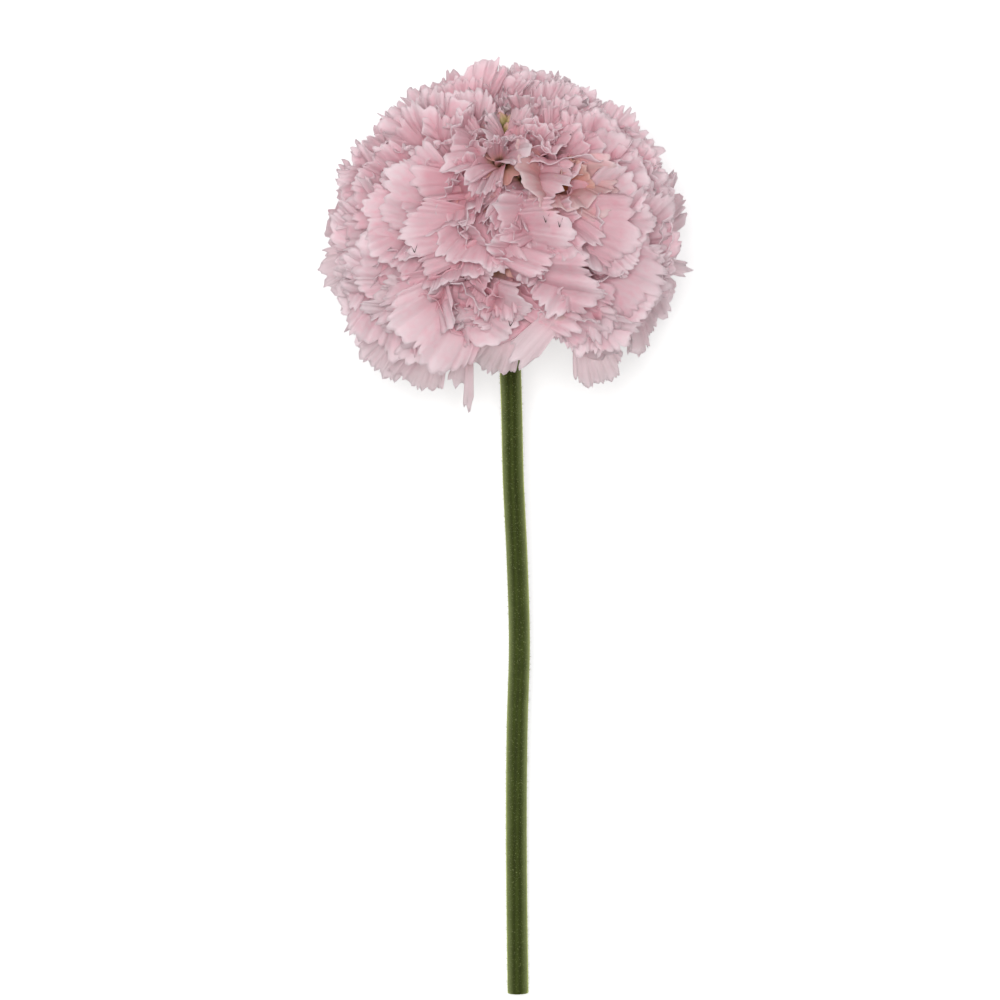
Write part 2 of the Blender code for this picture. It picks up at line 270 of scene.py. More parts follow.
def srgb(red, green, blue):
    """A colour as seen on a screen, from 0 to 255, as the linear light that Blender uses."""
    return tuple(
        value / 12.92 if value <= 0.04045 else ((value + 0.055) / 1.055) ** 2.4
        for value in (red / 255, green / 255, blue / 255)
    )


def new_finish(name, constants):
    """A material, its empty wire and its Principled shader with the constant values set."""
    finish = bpy.data.materials.new(name)
    finish.use_nodes = True
    shader = finish.node_tree.nodes["Principled BSDF"]
    for key, value in constants.items():
        shader.inputs[key].default_value = value
    return finish, Wire(finish.node_tree), shader


def join(wire, shader, colour, relief=None, strength=0.5, depth=0.1 * MM):
    """Leads a colour, and a relief as fine bumps, into the Principled shader."""
    wire.tree.links.new(colour.socket, shader.inputs["Base Color"])
    if relief:
        inputs = {"Strength": strength, "Distance": depth, "Height": relief}
        bump = wire.make("ShaderNodeBump", None, inputs)
        wire.tree.links.new(bump.socket, shader.inputs["Normal"])


# %% [markdown]
# ## The petal finish
#
# Scabiosa petals are pale pink and almost without gloss. They are so thin that light comes
# through them, which keeps the gaps between them warm instead of black. Subsurface scattering is
# one way to show that, but it is meant for thick bodies; for a leaf or petal a Translucent shader
# mixed with the surface shader is closer to what happens. Their colour deepens towards the
# throat and turns tan at the base, partly their own colouring and partly painted warm shade deep
# in the head. Towards the margin it fades to whitish, partly their own fading and partly a painted
# highlight on the frills. Fine veins run out to the teeth, with a little painted shade in the
# pleats' valleys. The lowest petals are greyed with painted shade, and old petals turn
# orange-brown.

# %% Petal material
PALE = srgb(247, 236, 239)
PINK = srgb(249, 221, 228)
DEEP = srgb(247, 188, 201)
# Tan of petal bases and tubes: partly their own colour, partly painted warm shade deep in the head.
THROAT = srgb(198, 160, 108)
MARGIN = srgb(250, 240, 243)
# Greyed pink: a random grey tone in the mottle, and painted shade where it greys the lowest petals.
GREYED_TONE_AND_SHADE = srgb(234, 225, 226)
WITHERED = srgb(196, 118, 68)
LIGHT_THROUGH_PALE = (0.96, 0.872, 0.896, 1)
LIGHT_THROUGH_DEEP = (0.985, 0.815, 0.835, 1)
LIGHT_THROUGH_SHARE = 0.62
VEINS = 48.0  # radians from the middle of a lobe to its side


def petal_finish(name):
    finish, wire, shader = new_finish(name, {"Roughness": 0.62, "Specular IOR Level": 0.3})
    along = attribute(wire, "along")
    across = attribute(wire, "across")
    ridge = attribute(wire, "ridge")
    tint = attribute(wire, "tint")
    age = attribute(wire, "age")
    patches = noise(wire, 4 * MM)
    mottle = noise(wire, 1.6 * MM, 4.0)
    veins = (across * VEINS + noise(wire, 1.5 * MM, 1.0) * 9).sine() * 0.5 + 0.5
    # From the throat outward: deep pink, pink, then pale. The deep pink is partly the petal's own
    # and partly painted shade deep in the head.
    colour = (along * 1.15 + patches * 0.4 - 0.2).clamped().blend(DEEP, PINK)
    colour = (along * along * 1.1 + patches * 0.5 - 0.5).clamped().blend(colour, PALE)
    colour = ((mottle - 0.5) * 2.4).clamped().blend(colour, GREYED_TONE_AND_SHADE)
    colour = ((0.5 - mottle) * 3.2).clamped().blend(colour, DEEP)
    # Deeper pink along the veins, and a little in the pleats' valleys as painted shade.
    colour = ((1 - ridge) * 0.08 + (1 - veins) * along * 0.34).blend(colour, DEEP)
    # painted shade: a positive tint greys the lowest petals, under the ball
    colour = (tint * (0.4 + along * 0.5)).clamped().blend(colour, GREYED_TONE_AND_SHADE)
    colour = (tint * -0.45).clamped().blend(colour, DEEP)
    # Whitish margin: partly the petal's own fading, partly a painted highlight on the frills.
    margin = ((along - 0.88) * 6).clamped()
    # tan towards the throat: partly the petal's own colour, partly painted warm shade deep in the
    # head
    throat = (1.1 - along * 2.4 + (patches - 0.5) * 0.9).clamped()
    withered = (age * (0.5 + patches) * (1.5 - along)).clamped()
    colour = margin.blend(colour, MARGIN)
    colour = throat.blend(colour, THROAT)
    colour = withered.blend(colour, WITHERED)
    grain = noise(wire, 0.5 * MM, 2.0) * 0.4 + noise(wire, 1.4 * MM, 2.0)
    join(wire, shader, colour, grain + veins * along * 0.7, 0.5, 0.15 * MM)
    pale = wire.make("ShaderNodeBsdfTranslucent", None, {"Color": LIGHT_THROUGH_PALE})
    deep = wire.make("ShaderNodeBsdfTranslucent", None, {"Color": LIGHT_THROUGH_DEEP})
    # Light through the petals is deeper pink towards the throat: partly their own colour, partly
    # painted warm shade deep in the head.
    inward = (1.1 - along * 1.3 - tint * 0.35).clamped()
    through = wire.make("ShaderNodeMixShader", None, {0: inward, 1: pale, 2: deep})
    thin = (1 - throat * 0.85) * (1 - withered * 0.85) * (1 - margin * 0.1)
    surface = Wire(wire.tree, shader.outputs[0])
    sides = {0: thin * LIGHT_THROUGH_SHARE, 1: surface, 2: through}
    mixed = wire.make("ShaderNodeMixShader", None, sides)
    wire.tree.links.new(mixed.socket, wire.tree.nodes["Material Output"].inputs["Surface"])
    return finish


petals = petal_finish("petal_pink")

# %% [markdown]
# ## Where the florets stand
#
# The florets open in a spiral from the crown down to the skirt, each turned from the last by the
# golden angle, so that no two lie in one line and the ball is covered evenly. The numbers are
# those of the plain model, so each floret here stands over its own plain blade.

# %% Spiral of florets
FLORETS = 104
GOLDEN_ANGLE = math.radians(137.508)
CROWN_ANGLE = math.radians(14.5)
SKIRT_ANGLE = math.radians(113)
SPIRAL_POWER = 1.25
SEED = 7


def petal_reach(polar):
    """How far petal tips stand from the head's middle, by angle from the crown."""
    degrees = np.degrees(polar)
    reach = 26.5 + 5.5 * smoothstep(12, 38, degrees)
    reach = reach + 3.0 * smoothstep(35, 85, degrees) + 2.5 * smoothstep(90, 122, degrees)
    return reach * MM


def direction(polar, turn):
    """The way out from the middle, by angle from the crown and turn round the axis."""
    aside, ahead = np.sin(polar) * np.cos(turn), np.sin(polar) * np.sin(turn)
    return np.stack([aside, ahead, np.cos(polar) + 0 * turn], axis=-1)


class Floret:
    """Place and way of growing of one floret."""

    def __init__(self, index):
        share = ((index + 0.5) / FLORETS) ** SPIRAL_POWER
        top, skirt = math.cos(CROWN_ANGLE), math.cos(SKIRT_ANGLE)
        self.polar = math.acos(top + (skirt - top) * share)
        turn = index * GOLDEN_ANGLE
        self.rng = random.Random(1000 * SEED + index)
        degrees = math.degrees(self.polar)
        self.grown = float(smoothstep(14, 62, degrees))
        self.rng.uniform(-3, 3)  # the plain model's draw for droop, so that later draws match it
        self.growth = self.rng.uniform(-1.3, 0.3) * MM
        self.out = direction(self.polar, turn)
        self.down = direction(self.polar + math.pi / 2, turn)
        self.aside = np.cross(self.out, self.down)
        self.facing = float(self.out @ VIEW)
        toward_view = VIEW - self.facing * self.out
        flop = math.degrees(math.atan2(toward_view @ self.aside, toward_view @ self.down))
        flop = (flop + 90) % 180 - 90
        if abs(flop) > 60 and abs(self.facing) < 0.2 and index % 2:
            flop += 180  # every other one of those at the rim leans the other way
        self.flop = flop * float(smoothstep(0.95, 0.6, abs(self.facing)))

    def around(self, turn):
        """The direction, or directions, at right angles to its axis, turned from straight down."""
        return np.cos(turn) * self.down + np.sin(turn) * self.aside


# %% [markdown]
# ## The outline of the head
#
# A head of petals is not a clean ball: it is narrower here, fuller there, and open beside the
# stem, where the lowest petals hang apart. The table below gives its reach in each direction as
# it lies. Petals could be trimmed to that with a boolean, but it would cut off their toothed
# margins. Instead each tip is set inside the reach, and points that still pass it are drawn back.

# %% Outline of the head from above
OUTLINE = (  # direction from the head's middle in degrees, and reach in mm
    (-180, 33.5), (-170, 36.0), (-155, 36.2), (-140, 37.4), (-131, 36.5), (-125, 32.0),
    (-119, 25.0), (-110, 22.5), (-100, 21.5), (-90, 20.5), (-80, 20.5), (-70, 21.0), (-63, 23.0),
    (-57, 27.0), (-51, 33.5), (-40, 35.3), (-30, 36.5), (-20, 33.5), (-15, 35.0), (-10, 32.3),
    (0, 33.3), (10, 35.0), (20, 33.4), (30, 33.5), (40, 33.4), (47, 29.6), (55, 30.8),
    (62, 33.0), (75, 32.2), (85, 33.4), (96, 30.4), (105, 32.2), (110, 33.4), (125, 31.2),
    (135, 32.8), (145, 31.0), (155, 33.8), (170, 33.7), (180, 33.5),
)
OUTLINE_SLACK = 0.3 * MM  # how far inside it the longest tips end
OUTLINE_SCATTER = 4.2 * MM  # how much shorter than those the others may be
OUTLINE_GIVE = 0.6 * MM  # how far teeth may pass it
DRAWN_SHARE = 0.7
STEM_SIDE = -90
outline_degrees, outline_reach = np.array(OUTLINE).T


def outline_at(heading):
    return np.interp(heading, outline_degrees, outline_reach) * MM


def within_outline(tip, rng):
    """Turns a tip that would stand out of the head's outline up from the table, or down to it."""
    laid = LAID_OVER @ tip
    flat = math.hypot(laid[0], laid[1])
    heading = math.degrees(math.atan2(laid[1], laid[0]))
    limit = float(outline_at(heading)) - OUTLINE_SLACK
    limit -= OUTLINE_SCATTER * rng.random()
    if flat <= limit:
        return tip
    height = math.sqrt(laid[2] ** 2 + 0.25 * (flat**2 - limit**2))
    laid[:2] *= limit / flat
    laid[2] = math.copysign(height, laid[2] + 3 * MM)
    return LAID_OVER.T @ laid


def drawn_in(laid):
    """Laid points, those past the head's outline moved most of the way back to it."""
    from_middle = laid[..., :2] - HEAD[:2]
    flat = np.linalg.norm(from_middle, axis=-1)
    heading = np.degrees(np.arctan2(from_middle[..., 1], from_middle[..., 0]))
    limit = outline_at(heading) + OUTLINE_GIVE
    drawn = DRAWN_SHARE * smoothstep(32, 48, np.abs(heading - STEM_SIDE))
    scale = 1 - drawn * np.maximum(flat - limit, 0) / np.maximum(flat, MM)
    laid[..., :2] = HEAD[:2] + from_middle * scale[..., None]
    return laid


# %% [markdown]
# ## One lobe
#
# A floret of scabiosa opens into five lobes: three broad ones on the outer side and two small
# ones on the inner side. Each lobe is a pleated fan, cut at its margin into rounded teeth, with
# one pleat running out to each tooth. Its midline is a curve from the throat over an elbow to
# the tip, and the fan's rays spread from its base. Ruffles, pleats and teeth are waves added to
# that. Sculpting would do for one petal, but a formula makes hundreds, each a bit different.

# %% Teeth along the margin
DEEP_NOTCHES = 0.11  # share of the notches


def teeth_of(teeth, rng):
    """Columns of a lobe, set on its uneven teeth: place, reach of the margin, pleat, offset."""
    widths = [rng.uniform(0.4, 1.6) for _ in range(teeth)]
    columns = []
    start = 0.0
    for width in widths:
        height = rng.uniform(0.0, 0.45) * width
        step_out = rng.uniform(-1, 1)
        deep = rng.random() < DEEP_NOTCHES
        notch = rng.uniform(-0.5, -1.3) if deep else rng.uniform(-0.4, -0.05)
        columns += [
            (start, notch, 0, 0),
            (start + 0.36 * width, height + rng.uniform(0, 0.3), 1, step_out),
            (start + 0.72 * width, height + rng.uniform(-0.15, 0.2), 1, step_out),
        ]
        start += width
    place, margin, ridge, offset = np.array([*columns, (start, -0.3, 0, 0)]).T
    return (2 * place / start - 1)[None, :], margin * MM, ridge, offset


# %% Fan-shaped lobe
LOBE_ROWS = np.array([0, 0.13, 0.27, 0.41, 0.55, 0.67, 0.78, 0.87, 0.945, 1.0])
SMALL_LOBE_ROWS = LOBE_ROWS[[0, 2, 4, 5, 7, 8, 9]]
SMALL_BELOW = 8  # teeth
PLEAT_DEPTH = 0.07 * MM
FRILL_DEPTH = 0.4 * MM


def lobe(
    skin, base, elbow, tip, side, spread, teeth, rng, ruffle, fold, curl, roll,
    pale=1.0, heart=1.0, jagged=1.0, free=False, **values
):
    """Adds one lobe, whose midline runs from base over elbow to tip.

    side is the unit vector across it, and spread its half opening. ruffle, fold, curl and roll
    say how it waves, closes along the middle, bends at the tip and turns. pale and heart say how
    far and how soon its colour fades outward, and jagged how rough its margin is. A free lobe may
    pass the head's outline.
    """
    small = teeth < SMALL_BELOW
    out = (SMALL_LOBE_ROWS if small else LOBE_ROWS)[:, None]
    across, margin, ridge, offset_out = teeth_of(teeth, rng)
    length = np.linalg.norm(tip - base)
    phases = [rng.uniform(0, 2 * math.pi) for _ in range(4)]

    # where the points lie on the flat fan: along its rays, beside the midline and forward
    scallop = np.sin(math.pi * rng.uniform(1.6, 2.6) * across + phases[0])
    reach = out * (1 - 0.13 * across**2 + 0.05 * scallop * out) * length
    reach = reach + margin * jagged * (0.7 if small else 1.0) * smoothstep(0.6, 1.0, out)
    angle = across * spread * (1.22 - 0.22 * out) * (1 - 0.4 * fold)
    offset = (0.5 if small else 0.85) * MM * across + reach * np.sin(angle)
    forward = reach * np.cos(angle) / length

    # how far they are lifted off it: ruffles, hollow base, fold, curled tip, frill and pleats
    wave = np.sin(math.pi * rng.uniform(0.8, 1.6) * across + phases[1])
    ripple = np.sin(math.pi * rng.uniform(3, 4.5) * across + phases[2])
    lift = ruffle * out**1.8 * wave + 0.3 * ruffle * out * ripple
    wrap = (1.3 + 8 * out**1.3) * MM
    lift = lift + offset**2 / (2 * wrap) * (1 - 0.8 * out)
    lift = lift + fold * 0.42 * length * np.abs(across) ** 1.4 * smoothstep(0.05, 0.7, out)
    lift = lift - curl * smoothstep(0.62, 1.0, out)
    frill = np.sin(math.pi * rng.uniform(3.5, 6.5) * across + phases[3]) + 0.35 * offset_out
    lift = lift + FRILL_DEPTH * jagged * frill * smoothstep(0.5, 1.0, out)
    lift = lift + jagged * PLEAT_DEPTH * (2 * ridge - 1) * smoothstep(0.3, 0.9, out)

    # the fan, bent along the midline and turned about it
    t = forward[..., None]
    middle = (1 - t) ** 2 * base + 2 * t * (1 - t) * elbow + t**2 * tip
    heading = unit(2 * (1 - t) * (elbow - base) + 2 * t * (tip - elbow))
    face = unit(np.cross(side, heading))
    twist = (roll * out)[..., None]
    side_turned = side * np.cos(twist) + face * np.sin(twist)
    face_turned = face * np.cos(twist) - side * np.sin(twist)
    grid = middle + side_turned * offset[..., None] + face_turned * lift[..., None]

    along = np.clip(reach / length, 0, 1) ** heart * pale
    laid = on_table(grid)
    laid = laid if free else drawn_in(laid)
    skin.add(laid, along=along, across=across, ridge=ridge, **values)


# %% [markdown]
# ## Florets with a part of their own
#
# On the side that shows, the florets part along a line through the middle of the head: they are
# narrower and deeper pink there, and brown slits show between them. Two throats near that line
# are open, and one floret to its right has withered. Such florets could be modelled apart, but
# it is enough to find those that stand there and to note what is special about each.

# %% Florets with a part of their own
MOUTH_REACH = 28 * MM  # roughly, for finding florets
OPEN_AT = ((0.0, 7.0), (6.5, -7.0))
WITHERED_AT = (12.8, 7.5)
PARTING_START, PARTING_END = np.array([(-4.0, 15.0), (5.0, -8.0)]) * MM


def mouth_from_above(plan):
    """Where a floret's mouth shows when the flower lies down: sideways and along."""
    return (LAID_OVER @ (plan.out * MOUTH_REACH))[:2]


def nearest_floret(plans, sideways, along):
    """The floret of the upper side whose mouth is nearest a place, in mm from the head's middle."""
    place = np.array([sideways, along]) * MM
    upper = [plan for plan in plans if plan.facing > 0]
    return min(upper, key=lambda plan: np.linalg.norm(mouth_from_above(plan) - place))


plans = [Floret(index) for index in range(FLORETS)]
open_florets = [nearest_floret(plans, *at) for at in OPEN_AT]
withered_floret = nearest_floret(plans, *WITHERED_AT)


def from_parting(place):
    """How far a place lies from the line along which the florets part."""
    line = PARTING_END - PARTING_START
    share = np.clip((place - PARTING_START) @ line / (line @ line), 0, 1)
    return np.linalg.norm(place - PARTING_START - share * line)


for plan in plans:
    plan.open = plan in open_florets
    plan.age = 1.0 if plan is withered_floret else 0.0
    away = from_parting(mouth_from_above(plan))
    plan.parted = float(smoothstep(10, 4, away / MM)) if plan.facing > 0 else 0.0
print("open throats:", [plans.index(plan) for plan in open_florets])

# %% [markdown]
# ## Tubes and low ruffles
#
# Every floret stands on a narrow tube, open at its mouth. Between the mouths one could look deep
# into the head, but short lobes lean out there under the long ones. A pink ball inside the head
# would close those gaps too, and would look like one. Where the florets part, only one of these
# short lobes grows, and the brown ground between the tubes shows.

# %% Tube and low ruffles
TUBE_START = 12.0 * MM


def tube(skin, plan, mouth):
    """The narrow tube under a floret's lobes, open at its mouth."""
    ring = plan.around(full_turn(10)[None, :, None])
    heights = np.array([TUBE_START, mouth - 2.5 * MM, mouth - 0.8 * MM, mouth + 0.7 * MM])
    radii = np.array([0.6, 0.75, 0.95, 1.35]) * MM * (1.25 if plan.open else 1.0)
    grid = plan.out * heights[:, None, None] + ring * radii[:, None, None]
    along = np.array([-1.0, -0.5, -0.2, 0.0])[:, None]
    skin.add(on_table(grid), closed=True, along=along, across=0.0, ridge=0.5, tint=0.0, age=0.0)


LOW_OPENING = math.radians(34)
LOW_TEETH = 7


def low_ruffles(skin, plan, mouth, limit):
    """Short lobes, three or at the parting one, that lean far out under the others."""
    rng = plan.rng
    for heading in (0,) if plan.parted > 0.5 else (0, 120, 240):
        toward = plan.around(math.radians(heading + rng.uniform(-30, 30)))
        lean = math.radians(rng.uniform(11, 15))
        reach = limit - rng.uniform(4.5, 7.5) * MM
        base = plan.out * (mouth - 1.5 * MM) + toward * 0.6 * MM
        tip = (math.cos(lean) * plan.out + math.sin(lean) * toward) * reach
        tip = within_outline(tip, rng)
        elbow = plan.out * (0.4 * mouth + 0.6 * reach) + toward * 2.2 * MM
        shape = dict(ruffle=0.9 * MM, fold=0.0, curl=0.5 * MM, roll=rng.uniform(-0.3, 0.3))
        # Deep under the others these lobes stay deep pink and tan: painted warm shade, and at the
        # parting a little brown like the ground.
        look = dict(pale=0.6 - 0.3 * plan.parted, tint=-0.6, age=0.08 * plan.parted)
        side = unit(np.cross(toward, plan.out))
        lobe(skin, base, elbow, tip, side, LOW_OPENING, LOW_TEETH, rng, **shape, **look)


# %% [markdown]
# ## One floret
#
# A floret is a small trumpet: a tube that flares into its lobes. The three outer lobes lean out
# over the florets below, and the two inner ones stay small and upright. Seen from the front it
# shows its throat between thin pale rims; seen from the side, the broad faces of its fans. Near
# the crown florets are younger and more upright, and some of their lobes are still folded. One
# floret could be made and copied, but copies show; each is grown anew with its own numbers.

# %% Floret
OUTER_LOBES = (0, -60, 60)
INNER_LOBES = (-138, 138)
INNER_TEETH = 6
OPEN_SPREAD = 19
CLEARANCE = math.radians(4.0)


def hides_throat(plan, way):
    """Whether a lobe that points this way would cover an open throat beside it."""
    others = (other for other in (*open_florets, withered_floret) if other is not plan)
    return any(math.acos(min(1.0, float(way @ other.out))) < CLEARANCE for other in others)


def floret(skin, plan):
    """Adds one floret: its lobes, the low ruffles under them and its tube."""
    rng = plan.rng
    # what it is, as shares from 0 to 1: by its angle from the crown, then by how it faces the view
    degrees = math.degrees(plan.polar)
    crown = smoothstep(30, 18, degrees)
    young = smoothstep(75, 25, degrees)
    skirt = smoothstep(80, 112, degrees)
    frontal = smoothstep(0.72, 0.95, plan.facing)
    rim = smoothstep(0.75, 0.4, abs(plan.facing))
    aslant = smoothstep(0.9, 0.6, abs(plan.facing)) * smoothstep(100, 80, degrees)

    outer_teeth = 9 if plan.parted > 0.5 else 13 if young > 0.5 else 14
    bend = 7 + 5 * smoothstep(20, 55, degrees) + 8 * smoothstep(62, 88, degrees)
    bend = math.radians(5 if plan.open else bend - 3 * smoothstep(98, 113, degrees))
    limit = petal_reach(plan.polar + bend) + plan.growth
    mouth = 0.60 - 0.08 * plan.grown + 0.04 * frontal + 0.09 * plan.parted
    mouth = (mouth + (0.03 if plan.open else 0)) * limit
    swing = rng.uniform(-18, 18)
    squeezed = plan.around(rng.uniform(0, math.pi))
    squeeze = frontal * rng.uniform(0.4, 0.75)
    # painted shade: the lowest florets, under the ball, are greyed
    painted_shade_below = skirt * rng.uniform(0.5, 1.0)
    # Random flush of deeper pink, stronger in the crown and at the parting, where it is partly
    # painted warm shade.
    flush_and_shade = rng.uniform(-0.6, 0.3) - 0.2 * young - 0.3 * plan.parted
    tint = painted_shade_below + (1 - skirt) * flush_and_shade
    for heading in OUTER_LOBES + INNER_LOBES:
        # some lobes are left out where others hide them
        inner = abs(heading) > 90
        skipped = (0.5 + 0.35 * rim) * (1 - frontal) * (1 - crown) if inner else 0.5 * aslant
        if heading != 0 and not plan.open and rng.random() < skipped:
            continue

        # its direction, lean, length and fold
        gathered = heading if inner else heading * (1 - 0.35 * rim)
        way = math.radians(gathered + plan.flop + swing + rng.uniform(-10, 10))
        toward = plan.around(way)
        toward = toward - squeeze * (toward @ squeezed) * squeezed
        lean = bend * rng.uniform(0.7, 1.3)
        lean *= 0.55 + 1.3 * crown if inner else 1.0 + 0.8 * frontal + 1.0 * plan.parted
        reach = limit + rng.uniform(-2.8, 0.6) * MM - (2.0 * MM if inner else 0)
        fold = rng.uniform(0.3, 0.65) if rng.random() < 0.04 + 0.1 * young else 0.0

        # its base, tip and elbow, and how wide it opens
        base = plan.out * mouth + toward * (1.0 if plan.open else 0.7) * MM
        tip_way = unit(math.cos(lean) * plan.out + math.sin(lean) * toward)
        if hides_throat(plan, tip_way):
            continue
        tip = within_outline(tip_way * reach, rng)
        if np.linalg.norm(tip - tip_way * reach) > 2 * MM:
            fold = 0.0
        elbow = plan.out * (0.42 * mouth + 0.58 * reach) + toward * (0.9 * MM + 0.16 * lean * reach)
        spread = 20 if inner else 31 + 4 * young + 3 * aslant
        spread = (spread + 4 * plan.grown) * (1 - 0.42 * plan.parted)
        spread = math.radians(spread + rng.uniform(-4, 4))
        if plan.open:
            spread = math.radians(OPEN_SPREAD)

        side = unit(np.cross(toward, plan.out))
        teeth = INNER_TEETH if inner else outer_teeth
        look = dict(
            ruffle=(0.5 if inner else rng.uniform(0.7, 1.3)) * (1 + 0.3 * frontal) * MM,
            fold=fold,
            curl=rng.uniform(-0.3, 0.6 + 0.6 * plan.grown) * MM,
            roll=math.radians(rng.uniform(-20, 20) * (1 - 0.5 * rim)),
            heart=1.3 if plan.open else 1.0,
            jagged=1.0 + 0.6 * rim + 0.25 * frontal,
            tint=tint,
            age=plan.age * (1.0 if inner else 0.45),
        )
        lobe(skin, base, elbow, tip, side, spread, teeth, rng, **look)
    if plan.facing > 0.45:
        low_ruffles(skin, plan, mouth, limit)
    tube(skin, plan, mouth)


# %% [markdown]
# ## Growing the head
#
# The head is grown in five bands from the crown to the skirt: one mesh of all petals would be
# heavy to handle, and a hundred single florets would be hard to keep apart. Most petals may fall
# where the spiral puts them. A few are listed one by one, because one knows this head by them:
# those that hang on both sides of the stem, and some that stand out at the rim.

# %% Grow all florets
PETAL_THICKNESS = 0.1 * MM
bands = {
    "florets_crown": (0, 24),
    "florets_upper": (24, 44),
    "florets_middle": (44, 64),
    "florets_lower": (64, 84),
    "florets_skirt": (84, FLORETS),
}


def keep(piece, slot, *nodes):
    """Hangs a piece on the flower's frame and hides the plain parts that it stands for. slot is not
    used.
    """
    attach(piece, "root")
    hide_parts(*nodes)


PLACED_PETALS = (  # base, elbow and tip in mm, half opening in degrees, teeth, jaggedness
    ((1.4, -17.0, 18), (-1.2, -22.5, 24), (-4.6, -27.6, 12), 24, 12, 0.9),
    ((13.6, -13.6, 20), (8.4, -18.6, 30), (1.4, -26.5, 24), 7.5, 9, 0.4),
    ((-7.0, -20.0, 10), (-7.1, -28.0, 10), (-7.4, -35.3, 5), 2.0, 3, 0.25),
    ((-7.0, -21.5, 9), (-8.0, -26.0, 9), (-9.9, -30.4, 6), 9, 4, 0.5),
    ((-11, -17, 8), (-15.5, -26, 11), (-18.0, -30.6, 4), 20, 12, 1.0),
    ((13.4, -15.5, 8), (16.5, -23.5, 11), (18.4, -29.6, 5), 20, 13, 1.0),
    ((-14.0, -13.0, 8), (-20.0, -21.5, 10), (-24.4, -27.6, 3), 21, 13, 1.3),
    ((-19.0, -4.0, 5), (-28.5, -6.6, 7), (-35.0, -9.2, 2), 13, 9, 1.3),
    ((22.0, -5.0, 4), (29.0, -7.4, 5), (34.6, -8.8, 2), 5, 4, 0.7),
)


def placed_petal(skin, base, elbow, tip, opening, teeth, jagged, rng):
    """A lobe given by its points as it lies: sideways, along and up from the head's middle."""
    base, elbow, tip = (LAID_OVER.T @ (np.array(place) * MM) for place in (base, elbow, tip))
    side = unit(np.cross(VIEW, tip - base))
    ruffle = 0.8 * MM * min(1.0, opening / 20)
    # painted shade: tint 0.9 greys these petals that hang under the head
    look = dict(ruffle=ruffle, fold=0.0, curl=0.2 * MM, roll=0.1, tint=0.9, age=0.0)
    opening = math.radians(opening)
    lobe(skin, base, elbow, tip, side, opening, teeth, rng, jagged=jagged, free=True, **look)


for name, (first, last) in bands.items():
    skin = Skin()
    for plan in plans[first:last]:
        floret(skin, plan)
    if name == "florets_skirt":
        for petal in PLACED_PETALS:
            placed_petal(skin, *petal, random.Random(SEED))
    keep(skin.build(name, petals, thickness=PETAL_THICKNESS), "petals", "florets")

# %% [markdown]
# ## What the petals stand in
#
# Deep between the petals one sees olive and brown, not pink: there the floret tubes rise out of
# a dense layer of small green calyces. In the photo only slits of it show. A rough body in that
# colour under the tubes is enough, lumpy at the scale of one calyx.

# %% Receptacle
# degrees from the crown, and reach in mm
CORE_RINGS = np.array([0, 8, 20, 32, 44, 56, 68, 80, 92, 104, 118, 132, 150, 166, 180.0])
CORE_KNOTS = [0, 25, 50, 90, 125, 150, 180]
CORE_REACH = np.interp(CORE_RINGS, CORE_KNOTS, [18.3, 18.6, 15, 12.7, 10.5, 9, 8.4])
CORE_ROWS, CORE_SIDES = 45, 72
LUMPS = 0.35


def core_finish():
    finish, wire, shader = new_finish("receptacle_olive", {"Roughness": 0.8})
    patches = noise(wire, 1.6 * MM)
    colour = ((patches - 0.35) * 3).clamped().blend(srgb(122, 112, 62), srgb(176, 146, 104))
    join(wire, shader, colour, noise(wire, 0.8 * MM, 4.0), 0.8, 0.5 * MM)
    return finish


rng = random.Random(SEED)
polar = np.radians(np.linspace(2, 178, CORE_ROWS))[:, None]
turn = full_turn(CORE_SIDES)[None, :]
lumps = [[rng.uniform(-1, 1) for _ in range(CORE_SIDES)] for _ in range(CORE_ROWS)]
lumps = np.array(lumps) * LUMPS
reach = (np.interp(np.degrees(polar), CORE_RINGS, CORE_REACH) + lumps) * MM
grid = direction(polar, turn) * reach[..., None]
skin = Skin()
skin.add(on_table(grid), closed=True, capped=True)
keep(skin.build("receptacle", core_finish()), "petals", "florets")

# %% [markdown]
# ## Bristles and styles
#
# Each floret stands in a tiny calyx with five dark bristles, and a pale style with a small knob
# reaches out of its throat. They are hair-thin, but in the photo a few bristles show as dark
# specks between the petals. Where they lie on top of petals, their height is found by dropping
# a ray on the finished petals, as one would lay a hair on them.

# %% Bristles
def bare_finish(name, light, dark=None, patch=1.5 * MM, roughness=0.5):
    """A finish that wanders between two colours, for things as thin as hairs."""
    finish, wire, shader = new_finish(name, {"Roughness": roughness})
    dark = dark or tuple(0.75 * part for part in light)
    join(wire, shader, noise(wire, patch).blend(dark, light))
    return finish


rng = random.Random(SEED)
SPECKS = ((-17.3, -6.2), (7.2, -0.6), (-7.9, -11.3), (0.6, -19.8), (9.8, -1.5))
BRISTLE_RADIUS = 0.07 * MM
SPECK_RADIUS = 0.13 * MM
CALYX_REACH = 13.0 * MM
DROP_HEIGHT = 0.2
bases, tips = [], []
for plan in plans:
    height = CALYX_REACH + 0.25 * plan.growth
    for prong in range(5):
        way = 2 * math.pi * (prong + rng.uniform(-0.2, 0.2)) / 5
        ring = plan.around(way)
        bases.append(plan.out * height + ring * 0.9 * MM)
        rise = height + rng.uniform(6, 8.5) * MM
        tips.append(plan.out * rise + ring * rng.uniform(2, 3.2) * MM)
bases, tips = on_table(np.array(bases)), on_table(np.array(tips))

petal_points, petal_faces = [], []
for name in bands:
    start = len(petal_points)
    mesh = bpy.data.objects[name].data
    petal_points.extend(vertex.co.copy() for vertex in mesh.vertices)
    petal_faces.extend([start + corner for corner in face.vertices] for face in mesh.polygons)
petal_surface = BVHTree.FromPolygons(petal_points, petal_faces)


